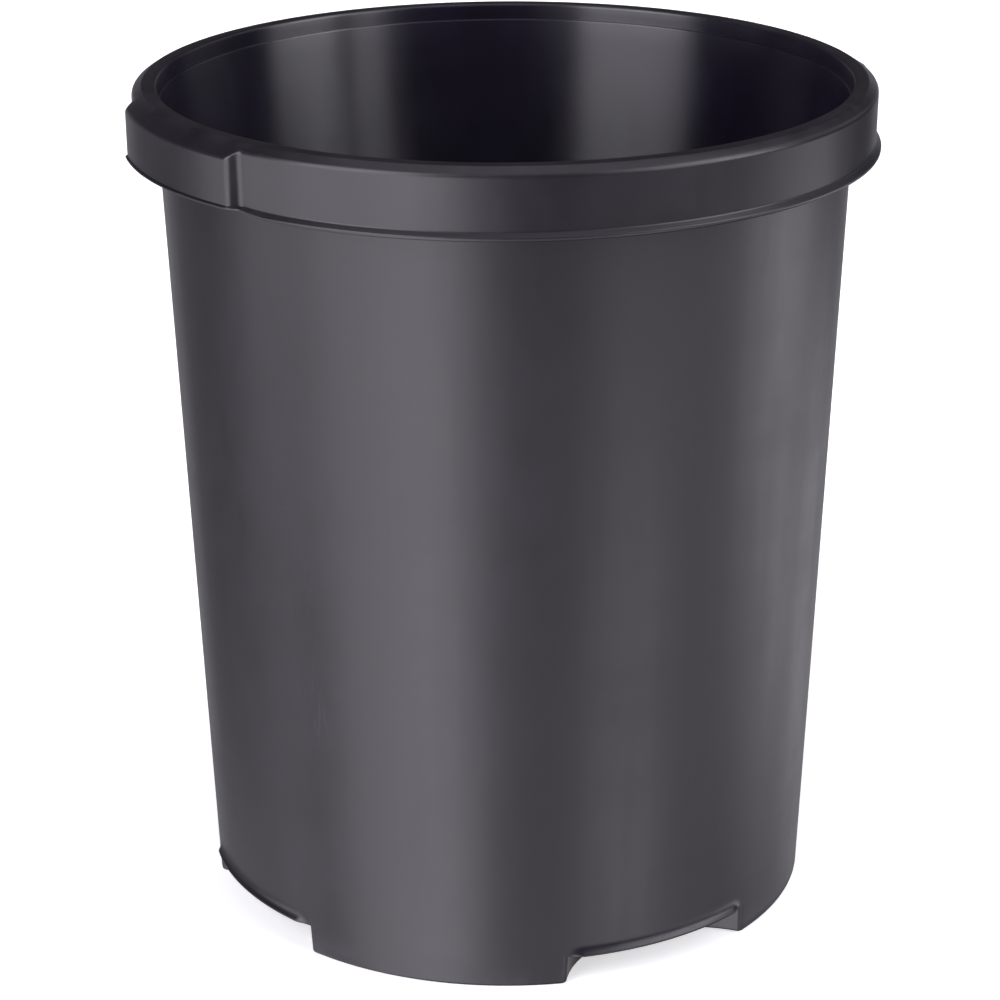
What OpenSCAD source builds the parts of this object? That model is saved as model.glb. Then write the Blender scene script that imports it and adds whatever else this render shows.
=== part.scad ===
/* [Bucket] */
// Overall height, from the feet to the top of the rim
bucket_height = 490; // [430:1:560]
// Outside radius of the side wall at foot level
wall_radius = 178.7; // [165:0.1:185]
// Thickness of the plastic
plastic = 3; // [2.4:0.1:3.4]

/* [Base] */
// Height of the underside of the base above the feet
base_lift = 17.7; // [12:0.1:24]
// Radius of the scalloped wall behind each finger recess
scallop_radius = 74; // [70:1:80]
// How far each scallop reaches in from the side wall
scallop_depth = 39.6; // [34:0.1:42]

/* [Finger lips] */
// How far the lip over a recess stands out from the side wall
finger_lip_out = 2.5; // [1:0.1:4]
// Height over which the lip runs out into the side wall
finger_lip_rise = 10; // [6:0.5:14]
// Sector that each lip covers, in degrees
finger_lip_angle = 38; // [30:1:40]

/* [Rim] */
// Outside radius of the band that hangs from the rim
band_radius = 212.4; // [210:0.1:216]
// Inside radius of the flat crown
crown_inner = 200.2; // [199:0.1:201]
// Outside radius of the flat crown
crown_outer = 206.6; // [205:0.1:208]
// Slope of the shoulder that runs from the crown to the band
shoulder_slope = 0.655; // [0.5:0.005:0.8]
// Depth of the band, from the crown to its lower edge
band_depth = 38.2; // [32:0.1:50]
// Height of the flared lip along the lower edge of the band
edge_lip_height = 8; // [6:0.5:10]
// How far the flared lip stands out from the band
edge_lip_out = 2.5; // [1.5:0.1:3]
// Depth of the stepped neck below the crown
neck_depth = 6.5; // [5:0.5:12]
// How far the outside of the neck stands out from the top of the side wall
neck_step = 1.76; // [1:0.01:2.5]
// Radius of the rounded inner edge of the crown
crown_round = 2; // [1:0.1:2.4]

/* [Grips] */
// How far each grip stands out from the band
grip_out = 5.3; // [3:0.1:8]
// Sector that each grip covers, in degrees
grip_angle = 34.2; // [26:0.2:40]
// Sector of the slanted ramp at each end of a grip, in degrees
ramp_angle = 1.8; // [1.2:0.1:3]
// Height of the grip's lower edge above that of the band
grip_edge_lift = 3; // [0:0.1:4]
// Height of the rib along the lower edge of a grip
grip_rib_height = 4; // [3:0.1:6]
// How far that rib stands out from the grip
grip_rib_out = 1; // [0.5:0.1:2]

/* [Hidden] */
$fn = 180;

charcoal = "#2c2b31";
body_color = charcoal;
rim_color = "#34333a";
foot_color = "#26252b";
lip_color = "#3b3a42";

// Directions of the grips and the recesses, counted from +X
RIGHT = 0;
BACK = 90;
LEFT = 180;
FRONT = 270;

// Turn from a recess to the foot that follows it
foot_turn = 45;

// Levels, from the feet up
floor_top = base_lift + plastic;
crown_bottom = bucket_height - plastic;
neck_bottom = crown_bottom - neck_depth;
band_bottom = bucket_height - band_depth;
edge_lip_top = band_bottom + edge_lip_height;
rib_bottom = band_bottom + grip_edge_lift;
rib_top = rib_bottom + grip_rib_height;

// The neck carries the crown, and the side wall leans out to meet it
neck_inner = crown_inner - crown_round;
wall_top_radius = neck_inner + plastic - neck_step;
wall_lean = (wall_top_radius - wall_radius) / neck_bottom;

// The scallops are cylinders that stand outside the bucket
scallop_centre = wall_radius - scallop_depth + scallop_radius;

// The band leans in a little towards its lower edge
band_lean = 0.6;
band_foot_radius = band_radius - band_lean;
grip_radius = band_radius + grip_out;

// The edge lip: a flare, a straight land below it and a small bevel at the bottom
edge_lip_land = 2.5;
edge_lip_bevel = 1.2;
edge_lip_radius = band_radius + edge_lip_out;

// Half of the sector between the feet of the two ramps of a grip
ramp_foot_angle = grip_angle / 2 + ramp_angle;

// Straight land along the lower edge of a finger lip
finger_lip_land = 1.2;

// Sector that a foot is cut from; the scallops trim its ends
foot_sector = 80;

// Reach of the cutting solids, and how far they run past what they cut
far = 300;
past = 1;

// Outside radius of the side wall at a height
function wall_at(z) = wall_radius + wall_lean * z;

// Height of the top of the shoulder at a radius
function shoulder_at(r) = bucket_height - shoulder_slope * (r - crown_outer);

// A point at a radius and an angle
function polar(r, angle) = [r * cos(angle), r * sin(angle)];

// Corners of a grip's ramp in plan: its foot on the band and its head on the grip
ramp_foot = polar(band_radius, ramp_foot_angle);
ramp_head = polar(grip_radius, grip_angle / 2);
ramp_slope = (ramp_head.y - ramp_foot.y) / (ramp_head.x - ramp_foot.x);

// Half width of a grip between its two slanted ends, at a distance along +X
function grip_half_width(x, inset) =
    ramp_foot.y + (x - ramp_foot.x) * ramp_slope - inset * sqrt(1 + ramp_slope * ramp_slope);

// A wedge of the XY plane, centred on a direction
module sector(direction, angle) {
    edge = far / cos(angle / 2);
    polygon([[0, 0], polar(edge, direction - angle / 2), polar(edge, direction + angle / 2)]);
}

// A revolved outline that covers only a sector
module revolve_sector(direction, angle) {
    rotate_extrude(angle = angle, start = direction - angle / 2) children();
}

// Plan of the band with one grip on +X, set in or out by a distance
module grip_plan(inset) {
    inner_x = band_radius - 2 * grip_out;
    outer_x = grip_radius + plastic;
    circle(r = band_radius - inset);
    intersection() {
        circle(r = grip_radius - inset);
        polygon([
            [inner_x, -grip_half_width(inner_x, inset)],
            [outer_x, -grip_half_width(outer_x, inset)],
            [outer_x, grip_half_width(outer_x, inset)],
            [inner_x, grip_half_width(inner_x, inset)]
        ]);
    }
}

// The round side wall, from the base to the neck
module side_wall() {
    color(body_color)
    rotate_extrude()
    polygon([
        [wall_at(base_lift), base_lift],
        [wall_at(neck_bottom), neck_bottom],
        [wall_at(neck_bottom) - plastic, neck_bottom],
        [wall_at(base_lift) - plastic, base_lift]
    ]);
}

// The floor of the bucket, inside the foot of the side wall
module base_plate() {
    color(body_color)
    rotate_extrude()
    polygon([
        [0, base_lift],
        [wall_at(base_lift) - plastic, base_lift],
        [wall_at(floor_top) - plastic, floor_top],
        [0, floor_top]
    ]);
}

// The four scallop cylinders, grown by a margin
module scallops(margin) {
    for (direction = [RIGHT, BACK, LEFT, FRONT])
        rotate(direction)
        translate([scallop_centre, 0, -past])
        cylinder(r = scallop_radius + margin, h = base_lift + 2 * past);
}

// A foot: the stretch of skirt between two recesses
module foot(direction) {
    color(foot_color)
    difference() {
        revolve_sector(direction, foot_sector)
        polygon([
            [wall_at(0), 0],
            [wall_at(base_lift), base_lift],
            [wall_at(base_lift) - plastic, base_lift],
            [wall_at(0) - plastic, 0]
        ]);
        scallops(plastic);
    }
}

// The curved wall behind a finger recess
module recess(direction) {
    color(foot_color)
    rotate(direction)
    intersection() {
        translate([scallop_centre, 0, 0])
        difference() {
            cylinder(r = scallop_radius + plastic, h = base_lift);
            translate([0, 0, -past]) cylinder(r = scallop_radius, h = base_lift + 2 * past);
        }
        cylinder(r1 = wall_at(0), r2 = wall_at(base_lift), h = base_lift);
    }
}

// The lip that stands out over a finger recess
module finger_lip(direction) {
    lip_top = base_lift + finger_lip_rise;
    lip_radius = wall_at(base_lift) + finger_lip_out;
    color(lip_color)
    revolve_sector(direction, finger_lip_angle)
    polygon([
        [wall_at(base_lift), base_lift],
        [lip_radius, base_lift],
        [lip_radius, base_lift + finger_lip_land],
        [wall_at(lip_top), lip_top]
    ]);
}

// The neck, which steps out from the side wall and carries the crown
module rim_neck() {
    color(rim_color)
    rotate_extrude()
    translate([neck_inner, neck_bottom])
    square([plastic, neck_depth]);
}

// The flat crown with its rounded inner edge
module rim_crown() {
    round_centre = [crown_inner, bucket_height - crown_round];
    color(rim_color)
    rotate_extrude()
    polygon([
        for (angle = [180 : -15 : 90]) round_centre + polar(crown_round, angle),
        [crown_outer, bucket_height],
        [crown_outer, crown_bottom],
        [neck_inner, crown_bottom]
    ]);
}

// Shoulder and skirt of the band over a plain sector
module band(direction) {
    band_inner = band_radius - plastic;
    color(rim_color)
    revolve_sector(direction, 180 - 2 * ramp_foot_angle)
    polygon([
        [crown_outer, bucket_height],
        [band_radius, shoulder_at(band_radius)],
        [band_foot_radius, edge_lip_top],
        [band_foot_radius - plastic, edge_lip_top],
        [band_inner, shoulder_at(band_inner) - plastic],
        [crown_outer, crown_bottom]
    ]);
}

// Shoulder and skirt of the band where it steps out into a grip
module grip(direction) {
    color(rim_color)
    rotate(direction)
    intersection() {
        linear_extrude(height = bucket_height) sector(0, 2 * ramp_foot_angle);
        difference() {
            translate([0, 0, rib_top])
            linear_extrude(height = bucket_height - rib_top) grip_plan(0);
            shoulder_cut(0);
            difference() {
                translate([0, 0, rib_top - past])
                linear_extrude(height = bucket_height) grip_plan(plastic);
                shoulder_cut(plastic);
            }
            cylinder(r = crown_outer, h = bucket_height + past);
        }
    }
}

// Everything above the shoulder's slope, lowered by a distance
module shoulder_cut(drop) {
    rotate_extrude()
    polygon([
        [0, bucket_height - drop],
        [crown_outer, bucket_height - drop],
        [far, shoulder_at(far) - drop],
        [far, bucket_height + far],
        [0, bucket_height + far]
    ]);
}

// The flared lip along the lower edge of the band
module edge_lip(direction) {
    color(lip_color)
    revolve_sector(direction, 180 - 2 * ramp_foot_angle)
    polygon([
        [band_foot_radius, edge_lip_top],
        [edge_lip_radius, band_bottom + edge_lip_bevel + edge_lip_land],
        [edge_lip_radius, band_bottom + edge_lip_bevel],
        [edge_lip_radius - edge_lip_bevel, band_bottom],
        [edge_lip_radius - edge_lip_bevel - plastic, band_bottom],
        [band_foot_radius - plastic, edge_lip_top]
    ]);
}

// The low rib along the lower edge of a grip
module edge_rib(direction) {
    color(lip_color)
    rotate(direction)
    translate([0, 0, rib_bottom])
    linear_extrude(height = grip_rib_height)
    intersection() {
        sector(0, 2 * ramp_foot_angle);
        difference() {
            grip_plan(-grip_rib_out);
            grip_plan(plastic);
        }
    }
}

side_wall();
base_plate();
foot(FRONT + foot_turn);  // foot_front_right
foot(RIGHT + foot_turn);  // foot_back_right
foot(BACK + foot_turn);  // foot_back_left
foot(LEFT + foot_turn);  // foot_front_left
recess(RIGHT);  // recess_right
recess(BACK);  // recess_back
recess(LEFT);  // recess_left
recess(FRONT);  // recess_front
finger_lip(RIGHT);  // finger_lip_right
finger_lip(BACK);  // finger_lip_back
finger_lip(LEFT);  // finger_lip_left
finger_lip(FRONT);  // finger_lip_front
rim_neck();
rim_crown();
band(FRONT);  // band_front
band(BACK);  // band_back
grip(RIGHT);  // grip_right
grip(LEFT);  // grip_left
edge_lip(FRONT);  // edge_lip_front
edge_lip(BACK);  // edge_lip_back
edge_rib(RIGHT);  // edge_rib_right
edge_rib(LEFT);  // edge_rib_left
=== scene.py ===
import math

import bmesh
import bpy
import numpy as np
from mathutils import Matrix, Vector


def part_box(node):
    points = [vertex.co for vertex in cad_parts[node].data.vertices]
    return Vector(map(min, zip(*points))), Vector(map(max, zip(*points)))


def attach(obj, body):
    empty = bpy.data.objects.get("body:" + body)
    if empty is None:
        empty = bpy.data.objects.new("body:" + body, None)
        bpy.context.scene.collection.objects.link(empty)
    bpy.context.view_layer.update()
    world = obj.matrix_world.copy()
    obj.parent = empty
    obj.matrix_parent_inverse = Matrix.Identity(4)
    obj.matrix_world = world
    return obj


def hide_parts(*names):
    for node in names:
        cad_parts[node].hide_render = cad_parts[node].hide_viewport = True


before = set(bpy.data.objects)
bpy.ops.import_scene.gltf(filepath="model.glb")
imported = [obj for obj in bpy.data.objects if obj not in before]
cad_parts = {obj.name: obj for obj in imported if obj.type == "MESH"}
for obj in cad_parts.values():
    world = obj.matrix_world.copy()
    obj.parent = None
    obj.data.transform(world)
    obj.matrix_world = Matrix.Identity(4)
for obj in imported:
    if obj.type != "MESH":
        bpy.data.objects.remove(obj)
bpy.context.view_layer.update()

# ---------------------------------------------------------------- sizes, in millimetres
MM = 0.001


def low(node):
    """Lowest corner of a CAD node, in millimetres."""
    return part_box(node)[0] / MM


def high(node):
    """Highest corner of a CAD node, in millimetres."""
    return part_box(node)[1] / MM


HEIGHT = high("rim_crown").z
BASE_LIFT = low("base_plate").z
FLOOR_TOP = high("base_plate").z
PLASTIC = FLOOR_TOP - BASE_LIFT
NECK_BOTTOM = low("rim_neck").z
NECK_OUTER = high("rim_neck").x
CROWN_OUTER = high("rim_crown").x
BAND_RADIUS = -low("band_front").y
BAND_BOTTOM = low("edge_lip_front").z
EDGE_RADIUS = -low("edge_lip_front").y
GRIP_RADIUS = high("grip_right").x
RIB_RADIUS = high("edge_rib_right").x
RIB_BOTTOM = low("edge_rib_right").z
LIP_RADIUS = high("finger_lip_right").x
LIP_TOP = high("finger_lip_right").z

# The side wall is a cone through two radii that the frame gives
WALL_TOP = high("side_wall").x
WALL_LEAN = (WALL_TOP - high("base_plate").x - PLASTIC) / (NECK_BOTTOM - FLOOR_TOP)

# The floor's fillet, and the flat middle that its rings leave to a single face
FLOOR_FILLET = 7
FLOOR_HUB = 6

# The finger recesses are scalloped out by upright cylinders that widen a little downwards. Their
# walls meet the feet at a seam, given in degrees about the cylinder, with one narrow mesh step
# beside it, in radians. The feet have rounded corners.
SCALLOP_RADIUS = 74
SCALLOP_CENTRE = low("recess_right").x + PLASTIC + SCALLOP_RADIUS
SCALLOP_DRAFT = 1.0
SCALLOP_SEAM = 40
SCALLOP_SEAM_STEP = 0.0003
FOOT_CORNER = 3.5
FOOT_ROUND = 1.8

# The lip over a finger recess: half its sector and the stretch where it fades in, in degrees,
# how deep it roots in the wall, the height of its straight land, and how hollow its flare is
LIP_REACH = 19.3
LIP_TAPER = 3.0
LIP_ROOT = 0.5
LIP_LAND = 1.4
LIP_HOLLOW = 4

# Crown and shoulder of the rim
CROWN_INNER_ROUND = 2.0
CROWN_OUTER_ROUND = 2.5
SHOULDER_SLOPE = 0.655
SHOULDER_SEAM = CROWN_OUTER + 1.6
SHOULDER_ROUND = 3.6

# Half sectors of a grip, in degrees: its ramps, and the blend of the lower edge beside them
RAMP_FOOT = 18.7
RAMP_HEAD = 17.3
EDGE_BLEND_FROM = 24.0
EDGE_BLEND_TO = 17.0
RIM_SEAM = RAMP_FOOT + 1.2

# Rounding at both ends of a ramp, as a share of its length
RAMP_ROUND = 0.36

# The rim's band, then a grip: how far the face leans in towards its foot, how far above the lower
# edge the flare starts and ends, and the rounding of the flare's start, its end and the edge
FACE_LEAN = (0.6, 0.25)
FLARE_START = (4.2, 1.9)
FLARE_END = (2.0, 1.2)
START_ROUND = (1.2, 0.4)
END_ROUND = (0.8, 0.45)
EDGE_ROUND = (0.8, 0.5)
RIB_CLEARANCE = 0.05

# Mesh density: steps in a round, the longest rows in millimetres, and azimuth steps in degrees
ARC_STEPS = 5
LONGEST_ROW = 12
LONGEST_FLOOR_ROW = 25
TURN_STEP = 0.5
RAMP_STEP = 0.05
SEAM_STEP = 0.03

# Edges sharper than this angle, in degrees, are shaded hard
SHARP_FROM = 32

GRIPS = {"right": 0, "left": 180}
RECESSES = {"right": 0, "back": 90, "left": 180, "front": 270}
FEET = {"back_right": 45, "back_left": 135, "front_left": 225, "front_right": 315}
BANDS = {"back": 90, "front": 270}


def wall_radius(z):
    """Outside radius of the side wall at a height."""
    return WALL_TOP + WALL_LEAN * (z - NECK_BOTTOM)


def shoulder_height(radius):
    """Height of the rim's shoulder at a radius."""
    return HEIGHT - SHOULDER_SLOPE * (radius - CROWN_OUTER)


# ---------------------------------------------------------------- outlines
def mix(a, b, share):
    return a + (b - a) * share


def smooth(share):
    share = min(max(share, 0.0), 1.0)
    return share * share * (3 - 2 * share)


def unit(vector):
    return vector / np.linalg.norm(vector)


def rounded(corners):
    """Points of a closed outline, whose corners are (x, y, radius of the round)."""
    points = []
    for i, (x, y, radius) in enumerate(corners):
        here = np.array((x, y), float)
        if radius == 0:
            points.append(here)
            continue
        to_before = unit(np.array(corners[i - 1][:2]) - here)
        to_after = unit(np.array(corners[(i + 1) % len(corners)][:2]) - here)
        half = math.acos(np.clip(to_before @ to_after, -1, 1)) / 2
        turn = math.pi - 2 * half
        centre = here + unit(to_before + to_after) * radius / math.sin(half)
        start = here + to_before * radius / math.tan(half) - centre
        end = here + to_after * radius / math.tan(half) - centre
        for k in range(ARC_STEPS + 1):
            share = k / ARC_STEPS
            arm = start * math.sin((1 - share) * turn) + end * math.sin(share * turn)
            points.append(centre + arm / math.sin(turn))
    return np.array(points)


def with_rows(points, longest=LONGEST_ROW):
    """The closed outline with its long sides split, so that the mesh gets even rows."""
    out = []
    for here, after in zip(points, np.roll(points, -1, axis=0)):
        rows = max(1, math.ceil(np.linalg.norm(after - here) / longest))
        out += [mix(here, after, k / rows) for k in range(rows)]
    return np.array(out)


def azimuths(start, end, step=TURN_STEP):
    """Evenly spread azimuths, with one narrow step at each end so that seams shade alike."""
    count = max(2, math.ceil((end - start) / step))
    inner = np.linspace(start, end, count + 1)[1:-1]
    return np.array([start, start + SEAM_STEP, *inner, end - SEAM_STEP, end])


def full_turn(step=TURN_STEP):
    return np.arange(0, 360, step)


def revolve(outline, turns):
    """Rings of points: the outline (radius, height) at each azimuth."""
    angles = np.radians(turns)[:, None]
    radius, height = outline[:, 0], outline[:, 1]
    return np.stack([
        radius * np.cos(angles),
        radius * np.sin(angles),
        np.broadcast_to(height, (len(turns), len(height))),
    ], axis=2)


# ---------------------------------------------------------------- meshes
def lofted(name, rings, closed):
    """A solid through rings of equal length. It is closed on itself, or capped at both ends."""
    count, size = rings.shape[:2]
    faces = []
    for i in range(count if closed else count - 1):
        near, far = i * size, (i + 1) % count * size
        for k in range(size):
            after = (k + 1) % size
            faces.append((near + k, far + k, far + after, near + after))
    if not closed:
        faces.append(tuple(range(size)))
        faces.append(tuple(range((count - 1) * size, count * size))[::-1])
    return solid(name, rings.reshape(-1, 3), faces)


def solid(name, points, faces):
    """A mesh object from points in millimetres, facing outwards, with its hard edges kept."""
    mesh = bpy.data.meshes.new(name)
    mesh.from_pydata((np.asarray(points) * MM).tolist(), [], faces)
    mesh.validate()
    work = bmesh.new()
    work.from_mesh(mesh)
    bmesh.ops.recalc_face_normals(work, faces=work.faces)
    work.to_mesh(mesh)
    work.free()
    mesh.shade_smooth()
    mesh.set_sharp_from_angle(angle=math.radians(SHARP_FROM))
    piece = bpy.data.objects.new(name, mesh)
    bpy.context.scene.collection.objects.link(piece)
    return piece


def fit(piece, slot, *nodes):
    """The piece rides on the bucket, stands for its CAD nodes and takes a material slot."""
    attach(piece, "root")
    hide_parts(*nodes)
    piece.data.materials.append(MATERIALS[slot])
    return piece


# ---------------------------------------------------------------- materials
class Recipe:
    """Builds a node tree in a few readable steps, around one kind of coordinates."""

    def __init__(self, owner, coordinates):
        owner.use_nodes = True
        self.tree = owner.node_tree
        self.place = self.tree.nodes.new("ShaderNodeTexCoord").outputs[coordinates]

    def plug(self, value, socket):
        if isinstance(value, bpy.types.NodeSocket):
            self.tree.links.new(value, socket)
        else:
            socket.default_value = value

    def sum(self, operation, a, b=0.0, limit=False):
        node = self.tree.nodes.new("ShaderNodeMath")
        node.operation = operation
        node.use_clamp = limit
        self.plug(a, node.inputs[0])
        self.plug(b, node.inputs[1])
        return node.outputs[0]

    def axes(self, vector):
        node = self.tree.nodes.new("ShaderNodeSeparateXYZ")
        self.tree.links.new(vector, node.inputs[0])
        return node.outputs

    def stretched(self, scale):
        node = self.tree.nodes.new("ShaderNodeMapping")
        self.tree.links.new(self.place, node.inputs["Vector"])
        node.inputs["Scale"].default_value = scale
        return node.outputs["Vector"]

    def noise(self, scale, detail=4.0, rough=0.55, warp=0.0):
        """Noise from 0 to 1 with this many features a metre along each axis."""
        node = self.tree.nodes.new("ShaderNodeTexNoise")
        self.tree.links.new(self.stretched(scale), node.inputs["Vector"])
        node.inputs["Scale"].default_value = 1.0
        node.inputs["Detail"].default_value = detail
        node.inputs["Roughness"].default_value = rough
        node.inputs["Distortion"].default_value = warp
        return node.outputs["Fac"]

    def span(self, value, from_low, from_high, to_low=0.0, to_high=1.0):
        node = self.tree.nodes.new("ShaderNodeMapRange")
        node.interpolation_type = "SMOOTHSTEP"
        self.plug(value, node.inputs["Value"])
        node.inputs["From Min"].default_value = from_low
        node.inputs["From Max"].default_value = from_high
        node.inputs["To Min"].default_value = to_low
        node.inputs["To Max"].default_value = to_high
        return node.outputs["Result"]

    def blend(self, share, a, b):
        node = self.tree.nodes.new("ShaderNodeMix")
        node.data_type = "RGBA"
        self.plug(share, node.inputs["Factor"])
        self.plug(a, node.inputs["A"])
        self.plug(b, node.inputs["B"])
        return node.outputs["Result"]

    def bump(self, height, depth, normal=None):
        node = self.tree.nodes.new("ShaderNodeBump")
        node.inputs["Strength"].default_value = 1.0
        node.inputs["Distance"].default_value = depth
        self.tree.links.new(height, node.inputs["Height"])
        if normal:
            self.tree.links.new(normal, node.inputs["Normal"])
        return node.outputs["Normal"]


def plastic(name, tint, roughness, scuffed, scratched=1.0, turned=0.0, specular=0.5):
    """Satin charcoal plastic: mottled gloss, flow marks, fine scratches, moulded grain.

    scuffed and scratched say how strongly rubbed zones and scratches show, and turned how far the
    fine rings of a lathe-turned mould stretch the gloss.
    """
    material = bpy.data.materials.new(name)
    recipe = Recipe(material, "Object")
    shader = recipe.tree.nodes["Principled BSDF"]
    z = recipe.axes(recipe.place)["Z"]

    clouds = recipe.noise((11, 11, 8), 5.0, 0.6, 0.6)
    blotches = recipe.noise((38, 38, 26), 4.0, 0.6, 0.4)
    streaks = recipe.noise((95, 95, 2.2), 3.0, 0.5)
    flow = recipe.noise((5, 5, 55), 4.0, 0.55, 0.5)
    grain = recipe.noise((950, 950, 950), 2.0, 0.5)
    ripple = recipe.noise((55, 55, 18), 2.0, 0.4)

    # Hairline scratches follow the ridges of a warped noise, and only show in patches
    ridges = recipe.noise((42, 42, 9), 2.0, 0.4, 1.6)
    hairline = recipe.sum("ABSOLUTE", recipe.sum("SUBTRACT", ridges, 0.5))
    hairline = recipe.span(hairline, 0.0, 0.004, 1.0, 0.0)
    patch = recipe.span(recipe.noise((9, 9, 14), 2.0, 0.5), 0.52, 0.66)
    scratch = recipe.sum("MULTIPLY", recipe.sum("MULTIPLY", hairline, patch), scratched)

    # Rubbed patches on the foot and on the crown
    top = HEIGHT * MM
    foot_rub = recipe.span(z, 0.002, 0.016, 1.0, 0.0)
    crown_rub = recipe.span(z, top - 0.0035, top - 0.0005)
    rub = recipe.sum("MAXIMUM", foot_rub, crown_rub)
    rub = recipe.sum("MULTIPLY", rub, recipe.span(blotches, 0.38, 0.7))
    faint_scratch = recipe.sum("MULTIPLY", scratch, 0.5)
    wear = recipe.sum("ADD", faint_scratch, recipe.sum("MULTIPLY", rub, scuffed), True)

    dark = tuple(channel * 0.84 for channel in tint)
    light = tuple(channel * 1.22 for channel in tint)
    worn = tuple(channel * 2.6 for channel in tint)
    shade = recipe.sum("ADD", recipe.sum("MULTIPLY", clouds, 0.6), recipe.sum("MULTIPLY", blotches, 0.4))
    colour = recipe.blend(recipe.span(shade, 0.35, 0.65), (*dark, 1), (*light, 1))
    colour = recipe.blend(wear, colour, (*worn, 1))
    recipe.tree.links.new(colour, shader.inputs["Base Color"])

    gloss = recipe.sum("MULTIPLY", wear, 0.1)
    for pattern, spread in ((clouds, 0.022), (blotches, 0.012), (streaks, 0.012), (flow, 0.008)):
        gloss = recipe.sum("ADD", gloss, recipe.span(pattern, 0.3, 0.7, -spread, spread))
    gloss = recipe.sum("ADD", gloss, roughness, True)
    recipe.tree.links.new(gloss, shader.inputs["Roughness"])

    shader.inputs["Specular IOR Level"].default_value = specular
    ripple_depth = 0.0001
    if turned:
        # The rings run round the bucket, so they stretch the gloss up and down its wall
        across = recipe.tree.nodes.new("ShaderNodeTangent")
        across.direction_type = "RADIAL"
        across.axis = "Z"
        recipe.tree.links.new(across.outputs[0], shader.inputs["Tangent"])
        shader.inputs["Anisotropic"].default_value = turned
        shader.inputs["Anisotropic Rotation"].default_value = 0.25
        grain = recipe.noise((20, 20, 420), 1.0, 0.5)
        ripple_depth = 0.00005

    normal = recipe.bump(grain, 0.000012)
    normal = recipe.bump(ripple, ripple_depth, normal)
    normal = recipe.bump(recipe.sum("MULTIPLY", scratch, -1.0), 0.00002, normal)
    recipe.tree.links.new(normal, shader.inputs["Normal"])
    return material


# Base colours of the outside and of the inside. The inside's is darker: painted shade for the shaded
# inside of the bucket, on the same plastic
CHARCOAL = (0.0092, 0.008, 0.0112)
SHADED_CORE_CHARCOAL = (0.0066, 0.0048, 0.0115)

MATERIALS = {
    "body": plastic("body_plastic", CHARCOAL, 0.345, scuffed=0.5),
    # The inside: turned-mould gloss, and a darker base colour that is painted shade
    "core": plastic(
        "core_plastic", SHADED_CORE_CHARCOAL, 0.335, scuffed=0.0, scratched=0.0, turned=1.0, specular=0.8
    ),
    "foot": plastic("foot_plastic", CHARCOAL, 0.36, scuffed=0.8),
    "rim": plastic("rim_plastic", CHARCOAL, 0.335, scuffed=0.35),
}


def core_side(piece, middle):
    """Gives the core's finish, with its darker painted-shade colour, to the faces nearer to the axis
    than a middle radius.
    """
    piece.data.materials.append(MATERIALS["core"])
    for face in piece.data.polygons:
        centre = face.center / MM
        if math.hypot(centre.x, centre.y) < middle(centre.z):
            face.material_index = 1
    return piece


# ---------------------------------------------------------------- body
def make_side_wall():
    outline = rounded([
        (wall_radius(BASE_LIFT), BASE_LIFT, 0),
        (wall_radius(NECK_BOTTOM), NECK_BOTTOM, 0),
        (wall_radius(NECK_BOTTOM) - PLASTIC, NECK_BOTTOM, 1.0),
        (wall_radius(BASE_LIFT) - PLASTIC, BASE_LIFT, 0),
    ])
    rings = revolve(with_rows(outline), full_turn())
    piece = fit(lofted("wall_shell", rings, True), "body", "side_wall")
    return core_side(piece, lambda z: wall_radius(z) - PLASTIC / 2)


def make_base():
    """The floor, with a fillet where it meets the wall, and its middle closed by flat faces."""
    wall_foot = np.array((wall_radius(FLOOR_TOP + FLOOR_FILLET) - PLASTIC, FLOOR_TOP))
    arc = [
        wall_foot + FLOOR_FILLET * np.array((math.sin(t) - 1, 1 - math.cos(t)))
        for t in np.radians(np.linspace(90, 0, 13))
    ]
    outline = with_rows(np.array([
        (wall_radius(BASE_LIFT) - PLASTIC, BASE_LIFT),
        *arc,
        (FLOOR_HUB, FLOOR_TOP),
        (FLOOR_HUB, BASE_LIFT),
    ]), LONGEST_FLOOR_ROW)
    # The outline starts at the hub's underside, so that its open end is the hub's rim
    outline = np.roll(outline, -int(np.argmin(outline @ (1, 1))), axis=0)
    rings = revolve(outline, full_turn(2 * TURN_STEP))
    count, size = rings.shape[:2]
    faces = []
    for i in range(count):
        near, far = i * size, (i + 1) % count * size
        faces += [(near + k, far + k, far + k + 1, near + k + 1) for k in range(size - 1)]
    faces.append(tuple(i * size for i in range(count)))
    faces.append(tuple(i * size + size - 1 for i in range(count))[::-1])
    piece = fit(solid("base_shell", rings.reshape(-1, 3), faces), "body", "base_plate")
    return core_side(piece, lambda z: wall_radius(z) - PLASTIC / 2 if z > FLOOR_TOP - PLASTIC / 2 else 0)


# ---------------------------------------------------------------- feet
def foot_section():
    """Closed outline of the skirt, as (inset from the outside face, height)."""
    return with_rows(rounded([
        (0, BASE_LIFT, 0),
        (0, 0, FOOT_ROUND),
        (PLASTIC, 0, 0.8),
        (PLASTIC, BASE_LIFT, 0),
    ]), 4)


def scallop_radius(inset, z):
    return SCALLOP_RADIUS + inset + SCALLOP_DRAFT * (1 - z / BASE_LIFT)


def scallop_point(radius, angle):
    return (SCALLOP_CENTRE - radius * math.cos(angle), radius * math.sin(angle))


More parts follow.
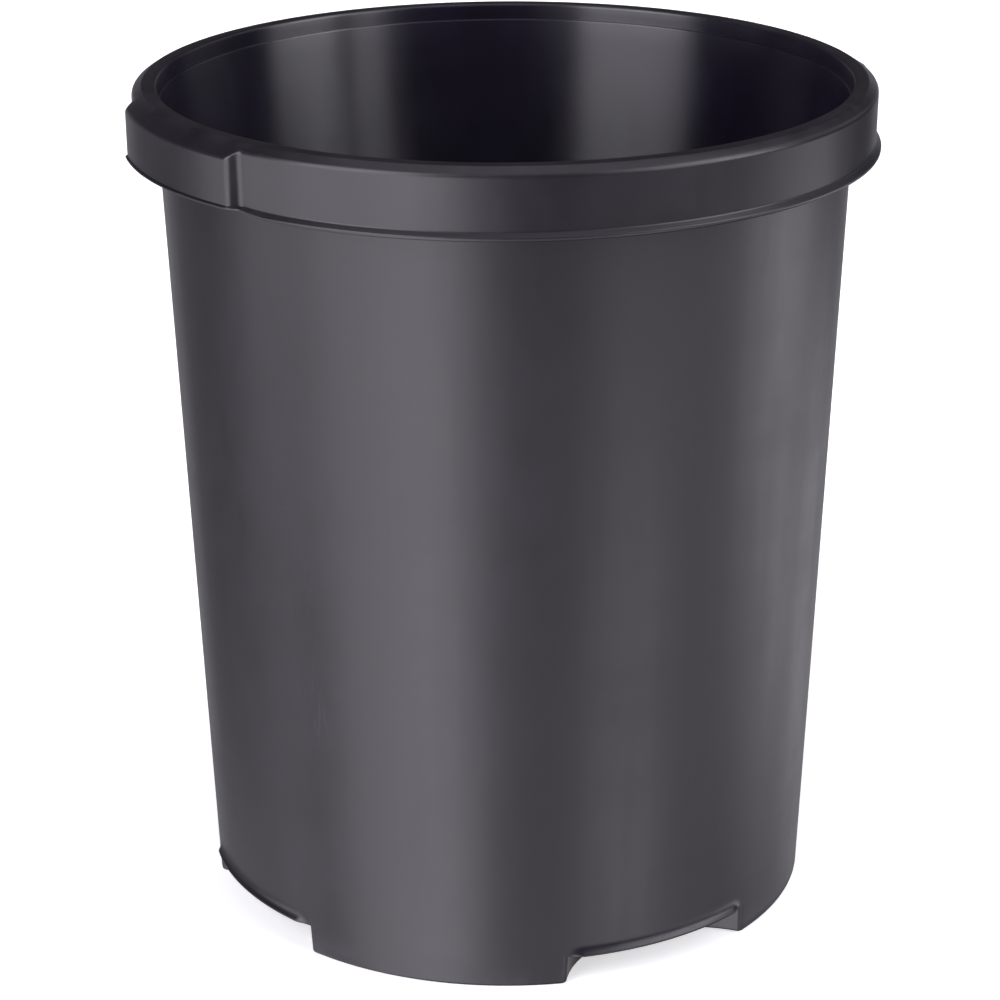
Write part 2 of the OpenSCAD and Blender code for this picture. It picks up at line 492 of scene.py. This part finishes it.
def half_foot(inset, z):
    """Plan of half a foot: scallop, rounded corner and skirt, from the scallop on +X to 45 degrees."""
    wall, scallop, corner = wall_radius(z) - inset, scallop_radius(inset, z), FOOT_CORNER - inset
    reach = wall - corner
    turn = math.acos(
        (reach ** 2 + SCALLOP_CENTRE ** 2 - (scallop + corner) ** 2) / (2 * SCALLOP_CENTRE * reach)
    )
    centre = np.array((math.cos(turn), math.sin(turn))) * reach
    lean = math.atan2(centre[1], SCALLOP_CENTRE - centre[0])
    seam = math.radians(SCALLOP_SEAM)
    sweep = (seam, seam + SCALLOP_SEAM_STEP, *np.linspace(seam, lean, 8)[1:])
    path = [scallop_point(scallop, s) for s in sweep]
    for s in np.linspace(-lean, turn, 17)[1:]:
        path.append(centre + corner * np.array((math.cos(s), math.sin(s))))
    for s in np.linspace(turn, math.radians(45), 50)[1:]:
        path.append((wall * math.cos(s), wall * math.sin(s)))
    return np.array(path)


def turned(points, degrees):
    """Plan points turned about the bucket's axis."""
    c, s = math.cos(math.radians(degrees)), math.sin(math.radians(degrees))
    return points @ np.array(((c, s), (-s, c)))


def lifted(paths, heights):
    """Rings across a path: one plan path for each point of the section, at its height."""
    plan = np.stack(paths, axis=1)
    level = np.broadcast_to(np.array(heights)[None, :, None], (*plan.shape[:2], 1))
    return np.concatenate([plan, level], axis=2)


def make_foot(name, direction):
    section = foot_section()
    paths = []
    for inset, z in section:
        half = half_foot(inset, z)
        mirrored = half[::-1, ::-1]
        paths.append(turned(np.vstack([half, mirrored[1:]]), direction - 45))
    rings = lifted(paths, section[:, 1])
    return fit(lofted(f"foot_{name}_skirt", rings, False), "foot", f"foot_{name}")


def make_recess(name, direction):
    section = foot_section()
    seam = math.radians(SCALLOP_SEAM)
    inside = seam - SCALLOP_SEAM_STEP
    sweep = [-seam, -inside, *np.linspace(-seam, seam, 60)[1:-1], inside, seam]
    paths = []
    for inset, z in section:
        radius = scallop_radius(inset, z)
        paths.append(turned(np.array([scallop_point(radius, s) for s in sweep]), direction))
    rings = lifted(paths, section[:, 1])
    return fit(lofted(f"recess_{name}_wall", rings, False), "foot", f"recess_{name}")


def make_finger_lip(name, direction):
    """A land along the recess, under a hollow flare that runs out into the wall."""
    rise = LIP_TOP - BASE_LIFT - LIP_LAND
    rings = []
    for turn in np.linspace(-LIP_REACH, LIP_REACH, 157):
        out = (LIP_RADIUS - wall_radius(BASE_LIFT)) * smooth((LIP_REACH - abs(turn)) / LIP_TAPER)
        out = max(out, 0.02)
        corners = rounded([
            (wall_radius(BASE_LIFT) - LIP_ROOT, BASE_LIFT, 0),
            (wall_radius(BASE_LIFT) + out, BASE_LIFT, min(0.8, out * 0.4)),
            (wall_radius(BASE_LIFT + LIP_LAND) + out, BASE_LIFT + LIP_LAND, min(0.5, out * 0.4)),
            *[
                (wall_radius(LIP_TOP - down * rise) + out * down ** LIP_HOLLOW, LIP_TOP - down * rise, 0)
                for down in np.linspace(0.9, 0.2, 8)
            ],
            (wall_radius(LIP_TOP), LIP_TOP, 0),
            (wall_radius(LIP_TOP) - LIP_ROOT, LIP_TOP, 0),
        ])
        rings.append(revolve(corners, np.array([turn + direction]))[0])
    piece = lofted(f"finger_lip_{name}_flare", np.array(rings), False)
    return fit(piece, "body", f"finger_lip_{name}")


# ---------------------------------------------------------------- rim
def make_crown():
    neck_inner = NECK_OUTER - PLASTIC
    outline = rounded([
        (neck_inner, NECK_BOTTOM, 0),
        (neck_inner, HEIGHT, CROWN_INNER_ROUND),
        (CROWN_OUTER, HEIGHT, CROWN_OUTER_ROUND),
        (SHOULDER_SEAM, shoulder_height(SHOULDER_SEAM), 0),
        (SHOULDER_SEAM, shoulder_height(SHOULDER_SEAM) - PLASTIC, 0),
        (CROWN_OUTER, HEIGHT - PLASTIC, 0),
        (NECK_OUTER, HEIGHT - PLASTIC, 0),
        (NECK_OUTER, NECK_BOTTOM, 0),
    ])
    rings = revolve(with_rows(outline, 4), full_turn())
    piece = fit(lofted("crown_ring", rings, True), "rim", "rim_crown", "rim_neck")
    return core_side(piece, lambda z: neck_inner + 0.5)


def ramp(share):
    """0 before 0, 1 after 1 and straight between, with both corners rounded."""
    def corner(x):
        if x <= -RAMP_ROUND:
            return 0.0
        return x if x >= RAMP_ROUND else (x + RAMP_ROUND) ** 2 / (4 * RAMP_ROUND)
    return corner(share) - corner(share - 1)


def rim_outline(turn):
    """Closed section of the rim's band at an azimuth, where it may stand out as a grip."""
    off = abs((turn + 90) % 180 - 90)
    grip = ramp((RAMP_FOOT - off) / (RAMP_FOOT - RAMP_HEAD))
    edge = smooth((EDGE_BLEND_FROM - off) / (EDGE_BLEND_FROM - EDGE_BLEND_TO))
    face_top = mix(BAND_RADIUS, GRIP_RADIUS, grip)
    face_foot = face_top - mix(*FACE_LEAN, grip)
    edge_out = mix(EDGE_RADIUS, RIB_RADIUS - RIB_CLEARANCE, grip)
    bottom = mix(BAND_BOTTOM, RIB_BOTTOM, edge)
    flare_top = bottom + mix(*FLARE_START, edge)
    flare_foot = bottom + mix(*FLARE_END, edge)
    inner = face_top - PLASTIC
    return rounded([
        (SHOULDER_SEAM, shoulder_height(SHOULDER_SEAM), 0),
        (face_top, shoulder_height(face_top), SHOULDER_ROUND),
        (face_foot, flare_top, mix(*START_ROUND, edge)),
        (edge_out, flare_foot, mix(*END_ROUND, edge)),
        (edge_out - 0.2, bottom, mix(*EDGE_ROUND, edge)),
        (edge_out - PLASTIC, bottom, 0.6),
        (face_foot - PLASTIC, flare_top, mix(*START_ROUND, edge)),
        (inner, shoulder_height(inner) - PLASTIC, 1.2),
        (SHOULDER_SEAM, shoulder_height(SHOULDER_SEAM) - PLASTIC, 0),
    ])


def band_rings(turns):
    return np.array([revolve(rim_outline(t), np.array([t]))[0] for t in turns])


def make_band(name, direction):
    half = 90 - RIM_SEAM
    turns = azimuths(direction - half, direction + half)
    piece = lofted(f"band_{name}_skirt", band_rings(turns), False)
    return fit(piece, "rim", f"band_{name}", f"edge_lip_{name}")


def make_grip(name, direction):
    ramp_end = RAMP_HEAD - 0.9
    ramps = azimuths(ramp_end, RIM_SEAM, RAMP_STEP)
    face = azimuths(-ramp_end, ramp_end)
    turns = np.concatenate([-ramps[::-1], face[1:-1], ramps]) + direction
    piece = lofted(f"grip_{name}_skirt", band_rings(turns), False)
    return fit(piece, "rim", f"grip_{name}", f"edge_rib_{name}")


make_side_wall()
make_base()
for name, direction in FEET.items():
    make_foot(name, direction)
for name, direction in RECESSES.items():
    make_recess(name, direction)
    make_finger_lip(name, direction)
make_crown()
for name, direction in BANDS.items():
    make_band(name, direction)
for name, direction in GRIPS.items():
    make_grip(name, direction)

# ---------------------------------------------------------------- stage, light and camera
# Where the camera stands, in degrees and metres, its turns in radians, and its lens in millimetres
VIEW_AZIMUTH = -30.25
CAMERA_DISTANCE = 1.7702
CAMERA_HEIGHT = 0.8948
CAMERA_PITCH = 0.35895
CAMERA_YAW = 0.0023
CAMERA_ROLL = -0.0051
CAMERA_LENS = 113.5


def make_floor():
    bpy.ops.mesh.primitive_circle_add(vertices=128, radius=7, fill_type="NGON")
    floor = bpy.context.object
    floor.name = "studio_floor"
    material = bpy.data.materials.new("pale_floor")
    material.use_nodes = True
    shader = material.node_tree.nodes["Principled BSDF"]
    shader.inputs["Base Color"].default_value = (0.85, 0.85, 0.85, 1)
    shader.inputs["Roughness"].default_value = 0.9
    shader.inputs["Emission Color"].default_value = (1, 1, 1, 1)
    shader.inputs["Emission Strength"].default_value = 0.55
    floor.data.materials.append(material)
    floor.visible_glossy = False


# Soft boxes and bright walls of the studio: the sector that each fills, in degrees to the right
# of the camera, its elevations, the softness of its edges, and its strength
STUDIO = {
    "left_far": ((-140, -98), (-58, 5), 16, 0.2),
    "left_low": ((-150, -85), (-74, -32), 14, 0.9),
    "left_wrap": ((-98, -64), (-58, 5), 16, 0.65),
    "left_high": ((-98, -60), (-20, 4), 8, 1.6),
    "key_outer": ((-64, -36), (-58, 5), 12, 2.8),
    "key_inner": ((-36, -13), (-58, 5), 14, 4.1),
    "low_front": ((-13, 30), (-60, -21), 12, 1.1),
    "low_right": ((30, 62), (-42, -20), 10, 2.4),
    "low_far": ((62, 88), (-36, -13), 8, 1.1),
    "strip_near": ((88, 118), (-27, -12), 6, 2.5),
    "strip_far": ((118, 150), (-28, -18), 6, 1.1),
    "rear_left": ((-170, -146), (-50, 5), 16, 0.45),
    "rear_right": ((154, 172), (-50, 5), 12, 0.5),
    "key_high": ((-69, -28), (5, 55), 6, 5.2),
    "right_near": ((44, 56), (5, 55), 4, 4.2),
    "right_far": ((62, 89), (5, 55), 4, 4.9),
    "right_top": ((90, 122), (38, 62), 8, 1.6),
    "right_edge": ((108, 140), (6, 34), 8, 0.4),
    "overhead": ((-200, 200), (60, 95), 20, 0.8),
    "surround": ((-200, 200), (-95, 95), 1, 0.05),
}
STUDIO_TINT = (0.99, 0.965, 1.045)


def make_world():
    """A white studio for the camera, and soft light by direction for everything else."""
    world = bpy.data.worlds.new("studio")
    recipe = Recipe(world, "Generated")
    facing = recipe.tree.nodes.new("ShaderNodeVectorRotate")
    facing.rotation_type = "Z_AXIS"
    facing.inputs["Angle"].default_value = -math.radians(VIEW_AZIMUTH)
    recipe.tree.links.new(recipe.place, facing.inputs["Vector"])
    x, y, z = recipe.axes(facing.outputs["Vector"])
    beside = recipe.sum("ARCTAN2", x, recipe.sum("MULTIPLY", y, -1.0))
    above = recipe.sum("ARCSINE", z)

    def window(angle, low_end, high_end, edge):
        enter = [math.radians(low_end + side * edge / 2) for side in (-1, 1)]
        leave = [math.radians(high_end + side * edge / 2) for side in (-1, 1)]
        rise = recipe.span(angle, *enter)
        return recipe.sum("MULTIPLY", rise, recipe.span(angle, *leave, 1.0, 0.0))

    light = 0.0
    for sides, levels, edge, strength in STUDIO.values():
        shape = recipe.sum("MULTIPLY", window(beside, *sides, edge), window(above, *levels, edge))
        light = recipe.sum("ADD", recipe.sum("MULTIPLY", shape, strength), light)
    seen = recipe.tree.nodes.new("ShaderNodeLightPath").outputs["Is Camera Ray"]
    strength = recipe.sum("ADD", recipe.sum("MULTIPLY", light, recipe.sum("SUBTRACT", 1.0, seen)), seen)
    background = recipe.tree.nodes["Background"]
    colour = recipe.blend(seen, (*STUDIO_TINT, 1), (1, 1, 1, 1))
    recipe.tree.links.new(colour, background.inputs["Color"])
    recipe.tree.links.new(strength, background.inputs["Strength"])
    bpy.context.scene.world = world


def make_camera():
    lens = bpy.data.cameras.new("camera")
    lens.sensor_width = 36
    lens.lens = CAMERA_LENS
    camera = bpy.data.objects.new("camera", lens)
    bpy.context.scene.collection.objects.link(camera)
    camera.matrix_world = (
        Matrix.Rotation(math.radians(VIEW_AZIMUTH), 4, "Z")
        @ Matrix.Translation((0, -CAMERA_DISTANCE, CAMERA_HEIGHT))
        @ Matrix.Rotation(CAMERA_YAW, 4, "Z")
        @ Matrix.Rotation(math.pi / 2 - CAMERA_PITCH, 4, "X")
        @ Matrix.Rotation(CAMERA_ROLL, 4, "Z")
    )
    bpy.context.scene.camera = camera


make_floor()
make_world()
make_camera()

# Plain tones, so that the white studio stays white
bpy.context.scene.view_settings.view_transform = "Standard"
